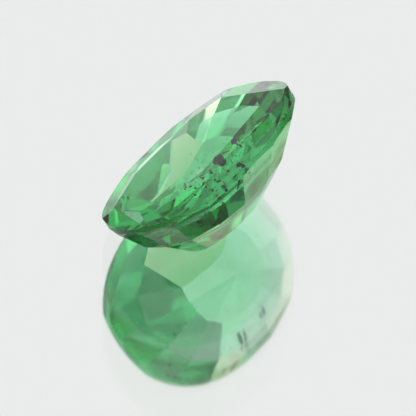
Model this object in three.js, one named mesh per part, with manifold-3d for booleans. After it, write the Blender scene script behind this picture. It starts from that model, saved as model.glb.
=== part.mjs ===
// Tsavorite garnet: one oval faceted gemstone, lying on a lower facet as a loose stone lies.
// Millimetres, +Z up. The stone rests on z = 0, and x = y = 0 is the middle of its outline.
//
// It is made as a lapidary makes it: an oval blank is ground flat, one facet after another.
// While it is ground the girdle's upper edge lies at z = 0, the table up. The length runs
// from west to east along x, and the north side is the one that the stone will lie on.

import * as THREE from 'three';
import { mergeVertices } from 'three/addons/utils/BufferGeometryUtils.js';
import Module from 'manifold-3d';

const wasm = await Module();
wasm.setup();

// Driving dimensions of the cut
const stoneLength = 7.59;
const stoneWidth = 5.97;
const girdleThickness = 0.145;
const crownHeight = 0.296;
const girdleFlats = 96;
// The girdle is an oval with fuller shoulders than an ellipse, and a little wider to the south
const outline = { shoulders: 0.037, southward: 0.01 };
const pavilionCount = 16;

// The pavilion's steps meet in two rings. Share is the part of the stone's half length and
// half width that a ring keeps. It dips by eye, as on a hand-cut stone: its heights at the
// ends and sides differ a little, and its middle lies a little off the girdle's.
const upperStep = {
  share: 0.767,
  heights: { east: -1.193, north: -1.415, west: -1.237, south: -1.322 },
  middle: { x: -0.254, y: 0.071 },
};
const lowerStep = {
  share: 0.447,
  heights: { east: -2.083, north: -2.237, west: -2.413, south: -2.210 },
  middle: { x: -0.310, y: 0.178 },
};
const culet = { x: -0.090, y: 0.004, height: -2.682 };

// The crown's eight facets, by eye as well: the index angle of each, counted from the east end
// towards the north side, and the share of the way out from the middle at which it meets the table
const crownFacets = [
  { index: 12, share: 0.724 },
  { index: 56, share: 0.672 },
  { index: 85, share: 0.599 },
  { index: 119, share: 0.680 },
  { index: 177, share: 0.840 },
  { index: 225, share: 0.660 },
  { index: 268, share: 0.713 },
  { index: 314, share: 0.950 },
];

// The facet that the stone lies on, on the north side's middle row, ground past its neighbours
const restFacet = { compass: 90.4, slope: 39.4, depth: 0.242 };
// Way that the stone's length points once it lies down, in degrees about the vertical
const heading = 52.0;

// Size of the grinding block and of the blank, larger than the stone
const blockSize = 30;
const blankHeight = 8;

const degrees = THREE.MathUtils.degToRad;
const down = new THREE.Vector3(0, 0, -1);
const up = new THREE.Vector3(0, 0, 1);

// A closed three.js shape as a solid that can be cut
function solidFrom(geometry) {
  geometry.deleteAttribute('normal');
  geometry.deleteAttribute('uv');
  const merged = mergeVertices(geometry);
  const vertProperties = new Float32Array(merged.attributes.position.array);
  const triVerts = new Uint32Array(merged.index.array);
  return new wasm.Manifold(new wasm.Mesh({ numProp: 3, vertProperties, triVerts }));
}

// The finished solid as a three.js shape with flat facets
function geometryFrom(solid) {
  const mesh = solid.getMesh();
  const geometry = new THREE.BufferGeometry();
  geometry.setAttribute('position', new THREE.BufferAttribute(mesh.vertProperties, 3));
  geometry.setIndex(new THREE.BufferAttribute(mesh.triVerts, 1));
  return geometry;
}

// Point of the girdle's outline, drawn in to a share of it, where index 0 is the east end
function ovalPoint(index, share, height) {
  const shoulders = outline.shoulders * Math.sin(2 * index) ** 2;
  const reach = share * (1 + shoulders + outline.southward * Math.sin(3 * index));
  const x = (stoneLength / 2) * reach * Math.cos(index);
  const y = (stoneWidth / 2) * reach * Math.sin(index);
  return new THREE.Vector3(x, y, height);
}

// Way that the outline runs at an index angle
function outlineWay(index) {
  const near = degrees(0.05);
  return ovalPoint(index + near, 1, 0).sub(ovalPoint(index - near, 1, 0)).normalize();
}

// Oval blank with the girdle's outline
function ovalBlank() {
  const rim = [];
  for (let flat = 0; flat < girdleFlats; flat += 1) {
    const point = ovalPoint(degrees((flat * 360) / girdleFlats), 1, 0);
    rim.push(new THREE.Vector2(point.x, point.y));
  }
  const shape = new THREE.Shape(rim);
  const geometry = new THREE.ExtrudeGeometry(shape, { depth: blankHeight, bevelEnabled: false });
  geometry.translate(0, 0, -blankHeight / 2);
  return solidFrom(geometry);
}

// The block that a lap takes away: its lower face is the new facet
function grindingBlock(normal, point) {
  const geometry = new THREE.BoxGeometry(blockSize, blockSize, blockSize);
  geometry.translate(0, 0, blockSize / 2);
  const turn = new THREE.Quaternion().setFromUnitVectors(up, normal);
  geometry.applyQuaternion(turn);
  geometry.translate(point.x, point.y, point.z);
  return solidFrom(geometry);
}

// Point of a step's ring: the four heights blend by the squares of cosine and sine
function stepPoint(step, index) {
  const cosine = Math.cos(index);
  const sine = Math.sin(index);
  const end = cosine > 0 ? step.heights.east : step.heights.west;
  const side = sine > 0 ? step.heights.north : step.heights.south;
  const point = ovalPoint(index, step.share, end * cosine ** 2 + side * sine ** 2);
  return point.add(new THREE.Vector3(step.middle.x, step.middle.y, 0));
}

// Outward normal of a facet that follows the outline and rises through two points
function facetNormal(index, outer, inner) {
  const along = outlineWay(index);
  const outwards = new THREE.Vector3(along.y, -along.x, 0);
  const normal = along.cross(inner.clone().sub(outer)).normalize();
  return normal.dot(outwards) < 0 ? normal.negate() : normal;
}

// One row: the same facet, repeated around the stone from its outer to its inner ring
function grindRow(stone, count, firstIndex, outerRing, innerRing) {
  let ground = stone;
  for (let step = 0; step < count; step += 1) {
    const index = degrees(firstIndex + (step * 360) / count);
    const outer = outerRing(index);
    ground = ground.subtract(grindingBlock(facetNormal(index, outer, innerRing(index)), outer));
  }
  return ground;
}

// Crown: each facet runs from the girdle up to the table's edge
function grindCrown(blank) {
  let stone = blank.subtract(grindingBlock(up, new THREE.Vector3(0, 0, crownHeight)));
  for (const facet of crownFacets) {
    const index = degrees(facet.index);
    const foot = ovalPoint(index, 1, 0);
    const normal = facetNormal(index, foot, ovalPoint(index, facet.share, crownHeight));
    stone = stone.subtract(grindingBlock(normal, foot));
  }
  return stone;
}

// Pavilion: three rows of steps that close at the culet
function grindPavilion(blank) {
  const girdleFoot = (index) => ovalPoint(index, 1, -girdleThickness);
  const upper = (index) => stepPoint(upperStep, index);
  const lower = (index) => stepPoint(lowerStep, index);
  const tip = () => new THREE.Vector3(culet.x, culet.y, culet.height);
  let stone = grindRow(blank, pavilionCount, 0, girdleFoot, upper);
  stone = grindRow(stone, pavilionCount, 0, upper, lower);
  return grindRow(stone, pavilionCount, 0, lower, tip);
}

function restNormal() {
  const compass = degrees(restFacet.compass);
  const slope = degrees(restFacet.slope);
  const level = Math.sin(slope);
  return new THREE.Vector3(level * Math.cos(compass), level * Math.sin(compass), -Math.cos(slope));
}

// The resting facet: a cut into the middle of the north side's middle row
function grindRestFacet(stone) {
  const north = Math.PI / 2;
  const point = stepPoint(upperStep, north).add(stepPoint(lowerStep, north)).multiplyScalar(0.5);
  point.addScaledVector(restNormal(), -restFacet.depth);
  return stone.subtract(grindingBlock(restNormal(), point));
}

// Turned so that the resting facet faces down, then about the vertical
function layDown(mesh) {
  const length = new THREE.Vector3(1, 0, 0);
  mesh.quaternion.setFromUnitVectors(restNormal(), down);
  length.applyQuaternion(mesh.quaternion);
  const spin = degrees(heading) - Math.atan2(length.y, length.x);
  mesh.quaternion.premultiply(new THREE.Quaternion().setFromAxisAngle(up, spin));
  mesh.updateMatrixWorld(true);
  const box = new THREE.Box3().setFromObject(mesh, true);
  const middle = box.getCenter(new THREE.Vector3());
  mesh.position.set(-middle.x, -middle.y, -box.min.z);
}

const garnetGreen = new THREE.MeshStandardMaterial({
  color: 0x35a867,
  roughness: 0.04,
  metalness: 0,
  flatShading: true,
});

const cutStone = grindRestFacet(grindPavilion(grindCrown(ovalBlank())));
const stone = new THREE.Mesh(geometryFrom(cutStone), garnetGreen);
stone.name = 'tsavorite_garnet';
layDown(stone);

const part = new THREE.Group();
part.add(stone);

export default part;
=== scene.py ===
# Tsavorite garnet lying on a mirror: the clear faceted stone, the grains that grew inside it,
# and soft light
import bpy
import math
import numpy as np
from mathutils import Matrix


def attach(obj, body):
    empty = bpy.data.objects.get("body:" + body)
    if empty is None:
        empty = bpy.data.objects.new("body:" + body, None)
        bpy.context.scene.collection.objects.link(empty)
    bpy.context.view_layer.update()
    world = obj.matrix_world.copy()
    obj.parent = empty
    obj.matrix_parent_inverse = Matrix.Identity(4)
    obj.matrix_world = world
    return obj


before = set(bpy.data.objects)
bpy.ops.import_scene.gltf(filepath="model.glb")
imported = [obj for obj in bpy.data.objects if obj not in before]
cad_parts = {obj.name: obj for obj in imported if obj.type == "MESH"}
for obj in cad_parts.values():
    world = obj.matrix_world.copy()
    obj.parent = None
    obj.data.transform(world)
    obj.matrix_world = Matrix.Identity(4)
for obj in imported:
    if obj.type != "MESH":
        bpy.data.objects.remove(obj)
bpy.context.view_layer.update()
mm = 0.001
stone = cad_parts["tsavorite_garnet"]
print("frame loaded")


def linear(hexColour):
    # sRGB hex to the linear colour that sockets take
    part = [int(hexColour[i:i + 2], 16) / 255 for i in (1, 3, 5)]
    return tuple(c / 12.92 if c <= 0.04045 else ((c + 0.055) / 1.055) ** 2.4
                 for c in part) + (1.0,)


def addNode(tree, kind, settings=None, values=None, links=None):
    # one node, with its settings, its socket values and what feeds its sockets
    node = tree.nodes.new(kind)
    for name, value in (settings or {}).items():
        setattr(node, name, value)
    for name, value in (values or {}).items():
        node.inputs[name].default_value = value
    for name, source in (links or {}).items():
        tree.links.new(source, node.inputs[name])
    return node


def newMaterial(name):
    material = bpy.data.materials.new(name)
    material.use_nodes = True
    material.node_tree.nodes.clear()
    return material, material.node_tree


def newPiece(name, points, faces, material, smooth=True):
    # a mesh object at the origin, its place in its points, which are in mm
    mesh = bpy.data.meshes.new(name)
    mesh.from_pydata((points * mm).tolist(), [], faces)
    mesh.polygons.foreach_set("use_smooth", np.full(len(mesh.polygons), smooth))
    mesh.materials.append(material)
    mesh.update()
    piece = bpy.data.objects.new(name, mesh)
    bpy.context.scene.collection.objects.link(piece)
    return piece


# Camera: a long lens that looks down at the lying stone, as in the photograph
view = {
    "lookDown": 53.8,  # degrees
    "distance": 500.0,  # mm
    "picture": 416,  # pixels
    "pixelsPerMm": 30.85,
    "girdlePixel": (198.8, 155.55),  # where the middle of the girdle shows
    "girdleMiddle": (0.004, 0.003, 2.388),  # mm, in the frame
    "sensor": 36.0,  # mm
    "nearest": 1.0,  # mm
    "furthest": 10000.0,  # mm
}


def viewAxes():
    # right, up and forward of the camera
    down = math.radians(view["lookDown"])
    right = np.array([1.0, 0.0, 0.0])
    up = np.array([0.0, math.sin(down), math.cos(down)])
    forward = np.array([0.0, math.cos(down), -math.sin(down)])
    return right, up, forward


def makeCamera():
    # placed so that the middle of the girdle shows at its pixel
    right, up, forward = viewAxes()
    half = view["picture"] / 2
    sideways = (half - view["girdlePixel"][0]) / view["pixelsPerMm"]
    upwards = (view["girdlePixel"][1] - half) / view["pixelsPerMm"]
    aim = np.array(view["girdleMiddle"]) + right * sideways + up * upwards
    place = aim - forward * view["distance"]
    data = bpy.data.cameras.new("camera")
    data.sensor_width = view["sensor"]
    data.lens = view["sensor"] * view["distance"] * view["pixelsPerMm"] / view["picture"]
    data.clip_start = view["nearest"] * mm
    data.clip_end = view["furthest"] * mm
    camera = bpy.data.objects.new("camera", data)
    bpy.context.scene.collection.objects.link(camera)
    camera.location = (place * mm).tolist()
    camera.rotation_euler = (math.radians(90 - view["lookDown"]), 0, 0)
    bpy.context.scene.camera = camera
    return place


cameraPlace = makeCamera()
print("camera placed")

# The stone: polished garnet, clear, green by what it absorbs on the way through
garnet = {
    "ior": 1.741,
    "passes": "#6ae7b0",  # colour that light keeps
    "density": 400.0,  # per metre
    "haze": 0.02,  # the most that the polish varies, as roughness
    "hazeSize": 1.1,  # mm
    "hazeFrom": (0.6, 0.8),  # noise at which the haze starts and is full
    # The girdle is ground and not polished: mm below the table where it starts and ends,
    # and its roughness, from the least to the most
    "girdle": (0.296, 0.441),
    "girdleRoughness": (0.228, 0.38),
    "grit": 0.03,  # mm, coarser than the real 0.01 so that it shows
    "gritFrom": (0.3, 0.7),  # noise at which the girdle is least and most rough
    # Nine facets have a dull polish, eight of the pavilion's on the right and one of the crown's
    # on the left, which faces the opposite way: the way they face, the cosine of how far a facet
    # may turn from it or from its opposite, and their roughness
    "dullWay": (0.742, -0.622, -0.25),
    "dullReach": 0.928,
    "dullRoughness": 0.16,
}


def garnetMaterial(tableWay, tableReach):
    # Tsavorite: a clear vanadium garnet with a lapidary polish. Gives hard glints, deep green
    # where the light's path is long and pale green where it is short. Round the girdle the
    # ground rim is left frosted, which shows as a pale line, and the dull facets look soft.
    # The table is given as the way it faces and its distance from the origin in mm.
    material, tree = newMaterial("polished_tsavorite")
    place = addNode(tree, "ShaderNodeTexCoord")
    haze = addNode(tree, "ShaderNodeTexNoise", values={
        "Scale": 1 / (garnet["hazeSize"] * mm), "Detail": 2.0,
    }, links={"Vector": place.outputs["Object"]})
    polish = addNode(tree, "ShaderNodeMapRange", values={
        "From Min": garnet["hazeFrom"][0], "From Max": garnet["hazeFrom"][1],
        "To Min": 0.0, "To Max": garnet["haze"],
    }, links={"Value": haze.outputs["Fac"]})

    # the frosted girdle: a band between two distances below the table
    towards = addNode(tree, "ShaderNodeVectorMath", {"operation": "DOT_PRODUCT"},
                      {1: tuple(tableWay)}, {0: place.outputs["Object"]})
    below = addNode(tree, "ShaderNodeMath", {"operation": "SUBTRACT"},
                    {0: tableReach * mm}, {1: towards.outputs["Value"]})
    first, last = garnet["girdle"]
    band = addNode(tree, "ShaderNodeMath", {"operation": "COMPARE"},
                   {1: (first + last) / 2 * mm, 2: (last - first) / 2 * mm},
                   {0: below.outputs["Value"]})
    grit = addNode(tree, "ShaderNodeTexNoise", values={
        "Scale": 1 / (garnet["grit"] * mm), "Detail": 1.0,
    }, links={"Vector": place.outputs["Object"]})
    ground = addNode(tree, "ShaderNodeMapRange", values={
        "From Min": garnet["gritFrom"][0], "From Max": garnet["gritFrom"][1],
        "To Min": garnet["girdleRoughness"][0], "To Max": garnet["girdleRoughness"][1],
    }, links={"Value": grit.outputs["Fac"]})
    frosted = addNode(tree, "ShaderNodeMix", {"data_type": "FLOAT"}, links={
        "Factor": band.outputs["Value"],
        "A": polish.outputs["Result"],
        "B": ground.outputs["Result"],
    })

    # the dull facets
    faces = addNode(tree, "ShaderNodeVectorMath", {"operation": "DOT_PRODUCT"},
                    {1: garnet["dullWay"]}, {0: place.outputs["Normal"]})
    either = addNode(tree, "ShaderNodeMath", {"operation": "ABSOLUTE"},
                     links={0: faces.outputs["Value"]})
    dull = addNode(tree, "ShaderNodeMath", {"operation": "GREATER_THAN"},
                   {1: garnet["dullReach"]}, {0: either.outputs["Value"]})
    finish = addNode(tree, "ShaderNodeMix", {"data_type": "FLOAT"}, {"B": garnet["dullRoughness"]},
                     {"Factor": dull.outputs["Value"], "A": frosted.outputs["Result"]})

    surface = addNode(tree, "ShaderNodeBsdfPrincipled", values={
        "Base Color": linear("#ffffff"),
        "IOR": garnet["ior"],
        "Transmission Weight": 1.0,
    }, links={"Roughness": finish.outputs["Result"]})
    inside = addNode(tree, "ShaderNodeVolumeAbsorption", values={
        "Color": linear(garnet["passes"]),
        "Density": garnet["density"],
    })
    addNode(tree, "ShaderNodeOutputMaterial", links={
        "Surface": surface.outputs["BSDF"],
        "Volume": inside.outputs["Volume"],
    })
    return material


def facetPlanes():
    # The stone's triangles as planes, to find where a line of sight goes once it is inside:
    # the way each faces, its distance from the origin in mm, and its weight, twice its area.
    # Slivers, which face no sure way, are left out.
    sliver = 1e-4
    mesh = stone.data
    mesh.calc_loop_triangles()
    corners = np.zeros(len(mesh.loop_triangles) * 3, int)
    mesh.loop_triangles.foreach_get("vertices", corners)
    points = np.zeros(len(mesh.vertices) * 3)
    mesh.vertices.foreach_get("co", points)
    points = points.reshape(-1, 3) / mm
    a, b, c = (points[corners.reshape(-1, 3)[:, k]] for k in range(3))
    normal = np.cross(b - a, c - a)
    weight = np.linalg.norm(normal, axis=1)
    large = weight > sliver
    normal = normal[large] / weight[large, None]
    return normal, (normal * a[large]).sum(axis=1), weight[large]


facetNormals, facetOffsets, facetWeights = facetPlanes()


def largestFacet():
    # the table: the triangles that face one way are one facet, and it has the most area
    parallel = 0.99999
    sameWay = facetNormals @ facetNormals.T > parallel
    table = np.argmax(sameWay @ facetWeights)
    return facetNormals[table], facetOffsets[table]


stone.data.materials.clear()
stone.data.materials.append(garnetMaterial(*largestFacet()))
print("stone finished")


def placeInside(pixel, depth):
    # The point that shows at a pixel, depth mm inside the stone along the bent line of sight.
    # Also how a small step to the right or up on the picture carries over to that point:
    # the step is followed along the sight line to the facet, then taken across the bent line,
    # and kept short where the sight line only grazes a facet.
    longestStep = 2
    edgeOn = 1e-9  # stands in for zero where the sight line runs along a facet
    right, up, forward = viewAxes()
    half = view["picture"] / 2
    scale = view["distance"] * view["pixelsPerMm"]
    ray = forward + right * (pixel[0] - half) / scale + up * (half - pixel[1]) / scale
    ray /= np.linalg.norm(ray)
    facing = facetNormals @ ray
    reach = (facetOffsets - facetNormals @ cameraPlace) / np.where(facing == 0, edgeOn, facing)
    entered = np.argmax(np.where(facing < 0, reach, -np.inf))
    surface = cameraPlace + ray * reach[entered]
    normal = facetNormals[entered]
    ratio = 1 / garnet["ior"]
    cosine = -normal @ ray
    bent = ratio * ray + (ratio * cosine - math.sqrt(1 - ratio ** 2 * (1 - cosine ** 2))) * normal
    steps = []
    for step in (right, up):
        onFacet = step - ray * (normal @ step) / (normal @ ray)
        across = onFacet - bent * (onFacet @ bent)
        steps.append(across / max(1, np.linalg.norm(across) / longestStep))
    return surface + bent * depth, bent, steps


# Every grain and drop is a lumpy ball, pressed to a flake. Each piece below has the height of
# its lumps as a share of the radius, the rows and columns of a ball, and its first ball's seed.
flake = {
    "thickness": 0.12,  # as a share of its width
    "waves": (2.0, 3.3, 5.1, 8.0),  # swellings over the ball, from broad to narrow
    "waveFade": 0.7,  # how much lower the narrow ones are, as a power
    "sidePixel": (255.0, 180.0),  # on the lower facets at the right
    "leastTurned": 0.35,  # cosine; a flake that would show closer to edge-on faces the camera
}

# Dark grains: where each shows in the photograph, in its pixels, how far it lies under the polish,
# and its length, width and turn on the picture
largeGrain = {
    "lumps": 0.04,
    "grid": (20, 28),
    "seed": 11,
    "spots": [
        # pixel x, pixel y, depth mm, long mm, wide mm, turn degrees
        (218.6, 159.8, 0.55, 0.39, 0.30, 40),
    ],
}
smallGrains = {
    "lumps": 0.16,
    "grid": (10, 14),
    "seed": 40,
    "spots": [
        (234.0, 141.0, 0.60, 0.22, 0.19, 60),
        (237.5, 144.5, 0.62, 0.12, 0.06, -40),
        (239.0, 165.0, 0.50, 0.20, 0.14, 10),
        (243.5, 166.5, 0.52, 0.16, 0.14, 70),
        (247.5, 169.0, 0.55, 0.10, 0.06, -30),
        (211.0, 172.5, 0.70, 0.10, 0.08, 0),
        (228.0, 171.0, 0.66, 0.09, 0.07, 30),
        (203.0, 178.0, 0.80, 0.09, 0.06, 20),
        (185.0, 184.0, 0.90, 0.08, 0.05, 90),
        (185.0, 189.0, 0.92, 0.07, 0.05, 80),
        (190.5, 186.5, 0.85, 0.09, 0.05, 10),
        (195.5, 188.0, 0.86, 0.09, 0.05, -20),
        (203.5, 184.0, 0.75, 0.10, 0.05, 60),
        (206.0, 187.0, 0.77, 0.08, 0.05, -70),
        (215.0, 180.0, 0.65, 0.08, 0.07, 0),
        (195.0, 195.0, 0.80, 0.09, 0.06, 0),
        (200.0, 196.0, 0.82, 0.08, 0.05, 30),
        (226.0, 190.0, 0.45, 0.13, 0.10, 0),
        (220.0, 198.0, 0.35, 0.10, 0.07, 50),
        (217.0, 196.0, 0.36, 0.09, 0.06, 10),
        (223.0, 203.0, 0.30, 0.09, 0.06, -30),
    ],
}

# Pin-points and the veil: clouds of tiny grains in the middle of the stone, each with its middle,
# length and width in the photograph's pixels, its turn in degrees, and depths and sizes in mm
pinpoints = {
    "lumps": 0.16,
    "grid": (4, 6),
    "seed": 200,
    "cloud": {
        "count": 360, "middle": (222.0, 166.0), "long": 88.0, "wide": 46.0, "turn": 38.0,
        "depth": (0.25, 1.5), "size": (0.016, 0.05), "seed": 5,
    },
}
veil = {
    "lumps": 0.16,
    "grid": (4, 5),
    "seed": 900,
    "cloud": {
        "count": 900, "middle": (205.0, 172.0), "long": 100.0, "wide": 34.0, "turn": 36.0,
        "depth": (0.7, 0.95), "size": (0.012, 0.03), "seed": 6,
    },
}

# Graphite and sulphide grains: nearly black, with a faint dull gleam and a grey mottle
darkMineral = {"colours": ("#131b17", "#3f4a44"), "mottle": 0.04, "detail": 3.0, "roughness": 0.45}
# Fluid drops of a healed crack: tiny and pale, they give the middle of the stone a milky bloom,
# and their tone changes nine times over a millimetre
healedCrack = {"colours": ("#cfe8d5", "#f4fbf3"), "mottle": 1 / 9, "detail": 2.0, "roughness": 0.3}


def inclusionMaterial(name, look):
    # Opaque, between two colours that change over the mottle's size in mm
    material, tree = newMaterial(name)
    place = addNode(tree, "ShaderNodeTexCoord")
    mottle = addNode(tree, "ShaderNodeTexNoise", values={
        "Scale": 1 / (look["mottle"] * mm), "Detail": look["detail"],
    }, links={"Vector": place.outputs["Object"]})
    tone = addNode(tree, "ShaderNodeMix", {"data_type": "RGBA"}, {
        "A": linear(look["colours"][0]), "B": linear(look["colours"][1]),
    }, {"Factor": mottle.outputs["Fac"]})
    surface = addNode(tree, "ShaderNodeBsdfPrincipled", values={"Roughness": look["roughness"]},
                      links={"Base Color": tone.outputs["Result"]})
    addNode(tree, "ShaderNodeOutputMaterial", links={"Surface": surface.outputs["BSDF"]})
    return material


def ballGrid(rows, columns):
    # Unit ball on a grid of latitude and longitude: x and y are the cosine of the latitude times
    # the cosine and sine of the longitude, z is the sine of the latitude. The poles are single
    # points, the last two.
    lat = np.linspace(-math.pi / 2, math.pi / 2, rows + 1)[1:-1]
    lon = np.arange(columns) * 2 * math.pi / columns
    la, lo = np.meshgrid(lat, lon, indexing="ij")
    points = np.stack([np.cos(la) * np.cos(lo), np.cos(la) * np.sin(lo), np.sin(la)], axis=-1)
    points = np.vstack([points.reshape(-1, 3), [[0, 0, -1], [0, 0, 1]]])
    here = np.arange(columns)
    beside = (here + 1) % columns
    row = np.arange(rows - 2)[:, None] * columns
    quads = np.stack([row + here, row + beside, row + columns + beside, row + columns + here],
                     axis=-1).reshape(-1, 4)
    south = np.full(columns, len(points) - 2)
    north = south + 1
    top = (rows - 2) * columns
    caps = np.stack([south, beside, here, north, top + here, top + beside], axis=-1).reshape(-1, 3)
    return points, quads, caps


def lumpy(points, seed, amount):
    # The ball with each point moved in or out by a few waves: its distance from the middle is
    # 1 + amount times a sum of sines, each a wave along a drawn direction from a drawn start
    rng = np.random.default_rng(seed)
    radius = np.ones(len(points))
    for wave in flake["waves"]:
        way = rng.normal(size=3)
        way /= np.linalg.norm(way)
        start = rng.uniform(0, 2 * math.pi)
        radius += amount / wave ** flake["waveFade"] * np.sin(points @ way * wave + start)
    return points * radius[:, None]


def cloudSpots(cloud):
    # Places drawn from an oval cloud that thins out to its edge, four standard deviations from
    # one side to the other. The cube of an even draw makes many grains small and few large.
    deviations = 4
    rng = np.random.default_rng(cloud["seed"])
    count = cloud["count"]
    along = rng.normal(0, cloud["long"] / deviations, count)
    across = rng.normal(0, cloud["wide"] / deviations, count)
    turned = math.radians(cloud["turn"])
    x = cloud["middle"][0] + along * math.cos(turned) + across * math.sin(turned)
    y = cloud["middle"][1] - along * math.sin(turned) + across * math.cos(turned)
    depth = rng.uniform(*cloud["depth"], count)
    low, high = cloud["size"]
    long = low + (high - low) * rng.random(count) ** 3
    slimmest, roundest = 0.6, 1.0
    wide = long * rng.uniform(slimmest, roundest, count)
    return list(zip(x, y, depth, long, wide, rng.uniform(0, 180, count)))


def makeGrains(name, look, spots, material):
    # Each grain is a lumpy flake that shows at its size and turn on the picture. It lies edge-on
    # to the sight lines from the mirror and through the lower facets, so there it is a thin streak.
    ball, quads, caps = ballGrid(*look["grid"])
    mirrored = viewAxes()[2] * (1, 1, -1)  # the line of sight as the mirror sends it up
    fromSide = placeInside(flake["sidePixel"], 0)[1]
    flakeWay = np.cross(mirrored, fromSide)
    flakeWay /= np.linalg.norm(flakeWay)
    points, faces = [], []
    for number, (px, py, depth, long, wide, turn) in enumerate(spots):
        centre, bent, (sideStep, upStep) = placeInside((px, py), depth)
        turned = math.radians(turn)
        along = sideStep * math.cos(turned) + upStep * math.sin(turned)
        across = upStep * math.cos(turned) - sideStep * math.sin(turned)
        flat = flakeWay * np.sign(flakeWay @ bent)
        if flat @ bent < flake["leastTurned"]:
            flat = bent
        along = along - bent * (along @ flat) / (bent @ flat)
        across = across - bent * (across @ flat) / (bent @ flat)
        shape = lumpy(ball, look["seed"] + number, look["lumps"])
        points.append(centre + (shape[:, :1] * along * long + shape[:, 1:2] * across * wide
                                - shape[:, 2:] * flat * min(long, wide) * flake["thickness"]) / 2)
        faces += (quads + len(ball) * number).tolist() + (caps + len(ball) * number).tolist()
    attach(newPiece(name, np.vstack(points), faces, material), "root")


grainMaterial = inclusionMaterial("dark_mineral_grain", darkMineral)
dropMaterial = inclusionMaterial("healed_crack_drops", healedCrack)
makeGrains("large_dark_grain", largeGrain, largeGrain["spots"], grainMaterial)
makeGrains("small_dark_grains", smallGrains, smallGrains["spots"], grainMaterial)
makeGrains("dark_pinpoints", pinpoints, cloudSpots(pinpoints["cloud"]), grainMaterial)
makeGrains("pale_veil", veil, cloudSpots(veil["cloud"]), dropMaterial)
print("grains placed")

# The mirror that the stone lies on: neither it nor the light is part of the stone. Sizes in mm.
mirror = {
    "glass": 1.93,  # from its face to the silver
    "gap": 0.002,  # between the stone and the glass
    "silverThickness": 0.05,
    "backing": 0.1,  # glass that goes on past the silver's face
    "size": 400.0,
    "ior": 1.52,
    "silver": "#f7f9f8",
    "blur": 0.055,  # roughness of the silver
}


def sheet(name, low, high, material):
    # a flat box of the mirror's size, between two heights in mm
    half = mirror["size"] / 2
    corners = np.array([(x, y, z) for z in (low, high) for x, y in
                        ((-half, -half), (half, -half), (half, half), (-half, half))])
    faces = [(0, 3, 2, 1), (4, 5, 6, 7), (0, 1, 5, 4), (1, 2, 6, 5), (2, 3, 7, 6), (3, 0, 4, 7)]
    newPiece(name, corners, faces, material, smooth=False)


def mirrorMaterials():
    # Float glass over silver: clear and smooth, so the reflection of the stone starts a little
    # below it, and the silver blurs it a little
    glass, tree = newMaterial("float_glass")
    surface = addNode(tree, "ShaderNodeBsdfPrincipled", values={
        "Base Color": linear("#ffffff"),
        "IOR": mirror["ior"],
        "Transmission Weight": 1.0,
        "Roughness": 0.0,
    })
    addNode(tree, "ShaderNodeOutputMaterial", links={"Surface": surface.outputs["BSDF"]})
    silver, tree = newMaterial("silvered_back")
    surface = addNode(tree, "ShaderNodeBsdfPrincipled", values={
        "Base Color": linear(mirror["silver"]),
        "Metallic": 1.0,
        "Roughness": mirror["blur"],
    })
    addNode(tree, "ShaderNodeOutputMaterial", links={"Surface": surface.outputs["BSDF"]})
    return glass, silver


glassMaterial, silverMaterial = mirrorMaterials()
silverFace = -mirror["glass"]
sheet("mirror_glass", silverFace - mirror["backing"], -mirror["gap"], glassMaterial)
sheet("mirror_silver", silverFace - mirror["silverThickness"], silverFace, silverMaterial)
print("mirror laid")

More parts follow.
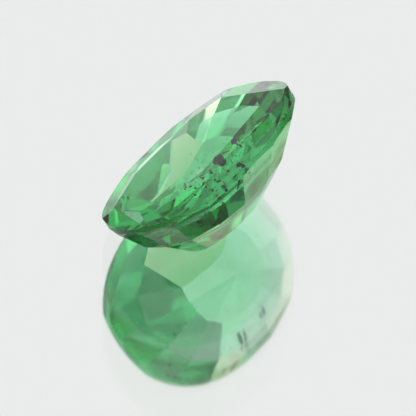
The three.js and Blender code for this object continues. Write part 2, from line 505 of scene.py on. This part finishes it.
# Light: a pale surround of daylight that is brighter or darker round some directions, as a room
# is, and warm lamps. Each lobe has its turn from +X and its height in degrees, the angles from
# there between which it fades out, and the amount that it adds.
light = {
    "base": 0.915,
    "dayColour": "#ffffff",
    "lampColour": "#ffeebb",
    "day": [
        # the window behind the camera, and the lit wall beside it
        (270, 45, 5, 15, 0.9),
        (250, 35, 5, 15, 0.8),
        (270, 5, 5, 15, 0.4),
        # a tall narrow window on the right
        (10, 35, 5, 15, 0.5),
        (0, 45, 5, 15, 0.7),
        # the far wall where the daylight falls on it, and a little from the ceiling on the left
        (95, 25, 5, 15, 0.7),
        (180, 75, 5, 25, 0.2),
        # dark: the wall round the right window, beside the camera, low behind the stone, the left
        (0, 35, 15, 40, -0.5),
        (300, 55, 5, 15, -0.4),
        (290, 25, 5, 25, -0.4),
        (80, 5, 15, 40, -0.4),
        (30, 5, 5, 25, -0.2),
        (140, 15, 5, 25, -0.2),
        (200, 15, 5, 25, -0.4),
    ],
    # high on the right, above the window and on both sides of it
    "lamps": [
        (0, 55, 5, 15, 0.7),
        (40, 45, 5, 15, 0.5),
        (335, 65, 5, 15, 1.0),
        (30, 75, 5, 15, 0.4),
    ],
    "contrast": 1.2,  # of the camera's picture
    "bounces": 24,  # light crosses the stone many times
    "glossyBounces": 12,
}


def addLobes(tree, level, lobes):
    # each lobe adds its amount to the even level where a direction is near its own
    place = addNode(tree, "ShaderNodeTexCoord")
    start = addNode(tree, "ShaderNodeValue")
    start.outputs[0].default_value = level
    strength = start.outputs[0]
    for turn, height, inner, outer, amount in lobes:
        turn, height = math.radians(turn), math.radians(height)
        way = (math.cos(height) * math.cos(turn), math.cos(height) * math.sin(turn),
               math.sin(height))
        towards = addNode(tree, "ShaderNodeVectorMath", {"operation": "DOT_PRODUCT"},
                          {1: way}, {0: place.outputs["Generated"]})
        lobe = addNode(tree, "ShaderNodeMapRange", {"interpolation_type": "SMOOTHSTEP"}, {
            "From Min": math.cos(math.radians(outer)),
            "From Max": math.cos(math.radians(inner)),
            "To Min": 0.0,
            "To Max": amount,
        }, {"Value": towards.outputs["Value"]})
        total = addNode(tree, "ShaderNodeMath", {"operation": "ADD"},
                        links={0: strength, 1: lobe.outputs["Result"]})
        strength = total.outputs[0]
    return strength


def makeLight():
    world = bpy.data.worlds.new("soft_surround")
    bpy.context.scene.world = world
    world.use_nodes = True
    tree = world.node_tree
    tree.nodes.clear()
    daylight = addNode(tree, "ShaderNodeBackground", values={"Color": linear(light["dayColour"])},
                       links={"Strength": addLobes(tree, light["base"], light["day"])})
    lamps = addNode(tree, "ShaderNodeBackground", values={"Color": linear(light["lampColour"])},
                    links={"Strength": addLobes(tree, 0.0, light["lamps"])})
    both = addNode(tree, "ShaderNodeAddShader", links={0: daylight.outputs[0], 1: lamps.outputs[0]})
    addNode(tree, "ShaderNodeOutputWorld", links={"Surface": both.outputs[0]})


makeLight()
scene = bpy.context.scene
scene.view_settings.view_transform = "Standard"
scene.view_settings.gamma = 1 / light["contrast"]
scene.cycles.max_bounces = light["bounces"]
scene.cycles.transmission_bounces = light["bounces"]
scene.cycles.glossy_bounces = light["glossyBounces"]
print("light set")
